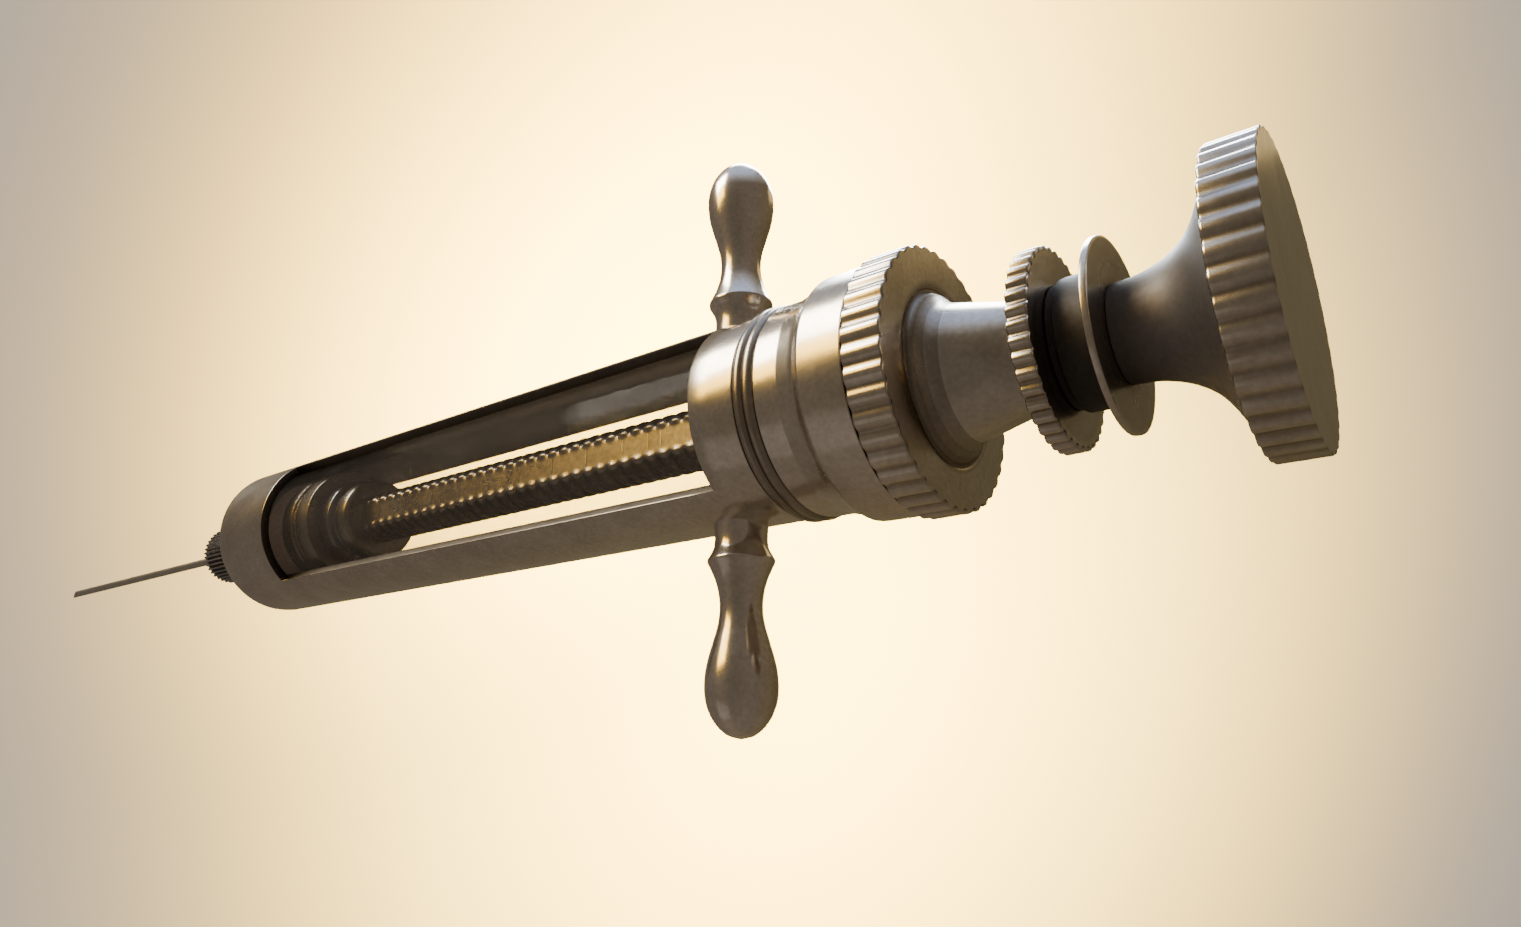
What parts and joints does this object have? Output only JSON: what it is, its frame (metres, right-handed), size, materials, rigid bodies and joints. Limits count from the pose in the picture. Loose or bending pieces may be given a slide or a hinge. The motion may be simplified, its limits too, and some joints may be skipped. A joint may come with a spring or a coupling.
{
  "type": "dental syringe",
  "caption": "Metal-framed dental syringe with a windowed glass barrel, two turned finger grips, a graduated double-flat piston rod, a knurled dose nut and a fluted thumb knob.",
  "frame": {"origin": "centre of the thumb knob's flat end face, on the syringe's axis", "axes": "+X runs along the axis and points out of the thumb end, so the needle lies along -X; Y runs through the two finger grips; +Z faces out of one barrel window"},
  "size_m": [0.1349, 0.038, 0.0152],
  "materials": {
    "frame": "aged nickel-plated metal, satin and smudged",
    "bright": "polished, warm tarnish",
    "rod": "satin, engraved scale on the flats",
    "dark": "dark oxidised steel",
    "brown": "brown tarnished metal",
    "needle": "drawn steel tube",
    "glass": "clear, slightly grey",
    "rubber": "dark sealing washer",
    "leather": "greased packing"
  },
  "bodies": {
    "barrel": {"barrel_frame": "frame", "glass_cylinder": "glass", "front_seal": "rubber", "rear_seal": "rubber", "finger_grip_a": "bright", "finger_grip_b": "bright", "bead_ring": "dark", "rear_sleeve": "frame", "nose_nipple": "brown"},
    "needle": {"needle_ferrule": "brown", "needle_cannula": "needle"},
    "needle_nut": {"needle_nut": "dark"},
    "cap_core": {"rod_guide": "brown", "gland_washer": "brown", "gland_packing": "leather"},
    "cap": {"screw_cap": "frame"},
    "stop_collar": {"stop_collar": "dark"},
    "dose_nut": {"dose_nut": "frame"},
    "plunger": {"piston_rod": "rod", "piston_front_plate": "brown", "piston_packing": "leather", "piston_body": "brown", "piston_plate": "dark", "piston_lock_nut": "brown"},
    "thumb_disc": {"thumb_disc": "frame"},
    "thumb_knob": {"thumb_knob": "frame"}
  },
  "joints": [
    {"name": "cap_turn", "type": "hinge", "parent": "cap_core", "child": "cap", "pos_m": [-0.0187, 0, 0], "axis": [1, 0, 0], "range_deg": [0, 1080]},
    {"name": "cap_slide", "type": "slide", "parent": "barrel", "child": "cap_core", "axis": [1, 0, 0], "range_m": [0, 0.003]},
    {"name": "plunger_slide", "type": "slide", "parent": "cap_core", "child": "stop_collar", "axis": [1, 0, 0], "range_m": [0, 0.032]},
    {"name": "dose_nut_turn", "type": "hinge", "parent": "stop_collar", "child": "dose_nut", "pos_m": [-0.0113, 0, 0], "axis": [1, 0, 0], "range_deg": [0, 2160]},
    {"name": "rod_feed", "type": "slide", "parent": "stop_collar", "child": "plunger", "axis": [1, 0, 0], "range_m": [0, 0.0069]},
    {"name": "thumb_knob_slide", "type": "slide", "parent": "plunger", "child": "thumb_disc", "axis": [1, 0, 0], "range_m": [0, 0.0024]},
    {"name": "thumb_knob_turn", "type": "hinge", "parent": "thumb_disc", "child": "thumb_knob", "pos_m": [0, 0, 0], "axis": [1, 0, 0], "range_deg": [0, 1080]},
    {"name": "needle_slide", "type": "slide", "parent": "barrel", "child": "needle", "axis": [-1, 0, 0], "range_m": [0, 0.0024]},
    {"name": "needle_nut_turn", "type": "hinge", "parent": "needle", "child": "needle_nut", "pos_m": [-0.093, 0, 0], "axis": [-1, 0, 0], "range_deg": [0, 1080]}
  ],
  "couplings": [
    {"joint": "cap_turn", "follows": "cap_slide", "rad_per_m": 6283.1},
    {"joint": "dose_nut_turn", "follows": "rod_feed", "rad_per_m": 5463.6},
    {"joint": "thumb_knob_turn", "follows": "thumb_knob_slide", "rad_per_m": 7853.9},
    {"joint": "needle_nut_turn", "follows": "needle_slide", "rad_per_m": 7853.9}
  ]
}
